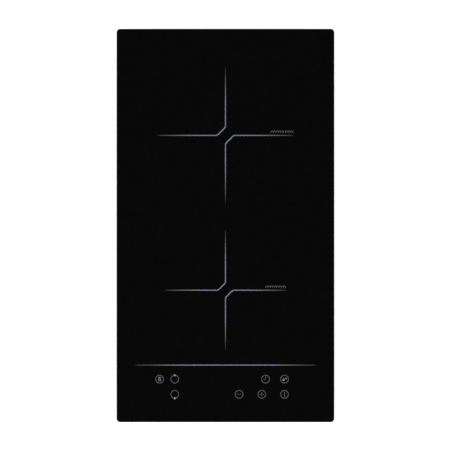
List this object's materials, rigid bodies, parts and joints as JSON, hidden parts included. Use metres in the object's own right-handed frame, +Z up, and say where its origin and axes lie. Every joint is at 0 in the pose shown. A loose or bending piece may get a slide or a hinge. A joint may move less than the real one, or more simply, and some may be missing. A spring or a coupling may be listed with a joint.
{
  "type": "electric induction cooktop",
  "caption": "Narrow built-in induction cooktop: black glass plate with corner-marked zones and touch keys, over a screwed steel tray with coils, blower and hinged worktop clamps.",
  "frame": {"origin": "centre of the tray's underside, below the middle of the glass plate", "axes": "+X to the user's right, +Y from the user towards the back, +Z up through the glass"},
  "size_m": [0.288, 0.52, 0.056],
  "materials": {
    "black_glass": "polished black ceramic glass, opaque",
    "bond": "matt silicone",
    "foam_seal": "matt closed-cell foam",
    "galvanised": "galvanised steel sheet with a fine spangle",
    "zinc_screw": "zinc plated",
    "clamp_steel": "spring steel, satin",
    "black_plastic": "moulded glass-filled nylon, fine texture",
    "terminal_cream": "moulded cream nylon",
    "brass": "machined",
    "deck_aluminium": "mill finish sheet",
    "pillar_steel": "turned steel",
    "litz_copper": "enamelled copper strands",
    "ferrite": "sintered ceramic, matt dark grey",
    "mica_mat": "pale fibre mat",
    "sensor_ceramic": "unglazed ceramic",
    "spring_steel": "plated spring wire",
    "coil_sleeve": "varnished glass-fibre sleeve",
    "white_wire": "PVC insulation",
    "green_board": "green solder mask with tracks",
    "nylon_white": "natural nylon",
    "heat_sink_alu": "extruded aluminium",
    "epoxy_black": "moulded epoxy with tinned legs",
    "capacitor_red": "dipped epoxy",
    "capacitor_blue": "shrink sleeve with a bare top",
    "relay_blue": "moulded plastic",
    "transformer_tape": "polyester tape over a ferrite core",
    "connector_white": "moulded nylon",
    "motor_metal": "laminated steel stator",
    "impeller_black": "moulded plastic",
    "display_smoke": "smoked display face",
    "ribbon_grey": "ribbed flat cable",
    "ceramic_print": "fired ceramic ink on the glass",
    "mains_wire": "PVC insulation in three colours"
  },
  "bodies": {
    "chassis": {"glass_top": "black_glass", "glass_bond": "bond", "glass_frame": "galvanised", "worktop_seal": "foam_seal", "base_tray": "galvanised", "frame_screws": "zinc_screw", "clamp_screws": "zinc_screw", "terminal_box": "black_plastic", "terminal_block": "terminal_cream", "terminal_screws": "brass", "cable_gland": "black_plastic", "gland_nut": "black_plastic", "coil_deck": "deck_aluminium", "deck_pillars": "pillar_steel", "rear_coil_former": "black_plastic", "rear_winding": "litz_copper", "rear_ferrites": "ferrite", "rear_insulation": "mica_mat", "rear_sensor": "sensor_ceramic", "front_coil_former": "black_plastic", "front_winding": "litz_copper", "front_ferrites": "ferrite", "front_insulation": "mica_mat", "front_sensor": "sensor_ceramic", "coil_springs": "spring_steel", "sensor_springs": "spring_steel", "rear_coil_leads": "coil_sleeve", "front_coil_leads": "coil_sleeve", "sensor_leads": "white_wire", "power_board": "green_board", "board_pillars": "nylon_white", "chassis_screws": "zinc_screw", "heat_sink": "heat_sink_alu", "transistors": "epoxy_black", "rectifier": "epoxy_black", "film_capacitors": "capacitor_red", "can_capacitors": "capacitor_blue", "choke_core": "ferrite", "choke_winding": "litz_copper", "relay": "relay_blue", "transformer": "transformer_tape", "coil_terminals": "brass", "board_connectors": "connector_white", "board_chips": "epoxy_black", "fan_housing": "black_plastic", "fan_cover": "black_plastic", "fan_motor": "motor_metal", "control_carrier": "nylon_white", "control_board": "green_board", "touch_springs": "spring_steel", "displays": "display_smoke", "buzzer": "epoxy_black", "ribbon_cable": "ribbon_grey", "mains_leads": "mains_wire"},
    "clamp_rear_right": {"clamp_rear_right": "clamp_steel"},
    "clamp_rear_left": {"clamp_rear_left": "clamp_steel"},
    "clamp_front_right": {"clamp_front_right": "clamp_steel"},
    "clamp_front_left": {"clamp_front_left": "clamp_steel"},
    "terminal_lid": {"terminal_lid": "black_plastic"},
    "impeller": {"fan_impeller": "impeller_black"}
  },
  "joints": [
    {"name": "rear_right_clamp_swing", "type": "hinge", "parent": "chassis", "child": "clamp_rear_right", "pos_m": [0.12, 0.15, 0.0118], "axis": [0, 0, 1], "range_deg": [-90, 0]},
    {"name": "rear_left_clamp_swing", "type": "hinge", "parent": "chassis", "child": "clamp_rear_left", "pos_m": [-0.12, 0.15, 0.0118], "axis": [0, 0, 1], "range_deg": [0, 90]},
    {"name": "front_right_clamp_swing", "type": "hinge", "parent": "chassis", "child": "clamp_front_right", "pos_m": [0.12, -0.15, 0.0118], "axis": [0, 0, 1], "range_deg": [0, 90]},
    {"name": "front_left_clamp_swing", "type": "hinge", "parent": "chassis", "child": "clamp_front_left", "pos_m": [-0.12, -0.15, 0.0118], "axis": [0, 0, 1], "range_deg": [-90, 0]},
    {"name": "terminal_lid_swing", "type": "hinge", "parent": "chassis", "child": "terminal_lid", "pos_m": [0.068, 0.172, 0.0028], "axis": [1, 0, 0], "range_deg": [-100, 0]},
    {"name": "impeller_spin", "type": "hinge", "parent": "chassis", "child": "impeller", "pos_m": [-0.045, 0.172, 0.015], "axis": [0, 0, 1], "continuous": true}
  ]
}
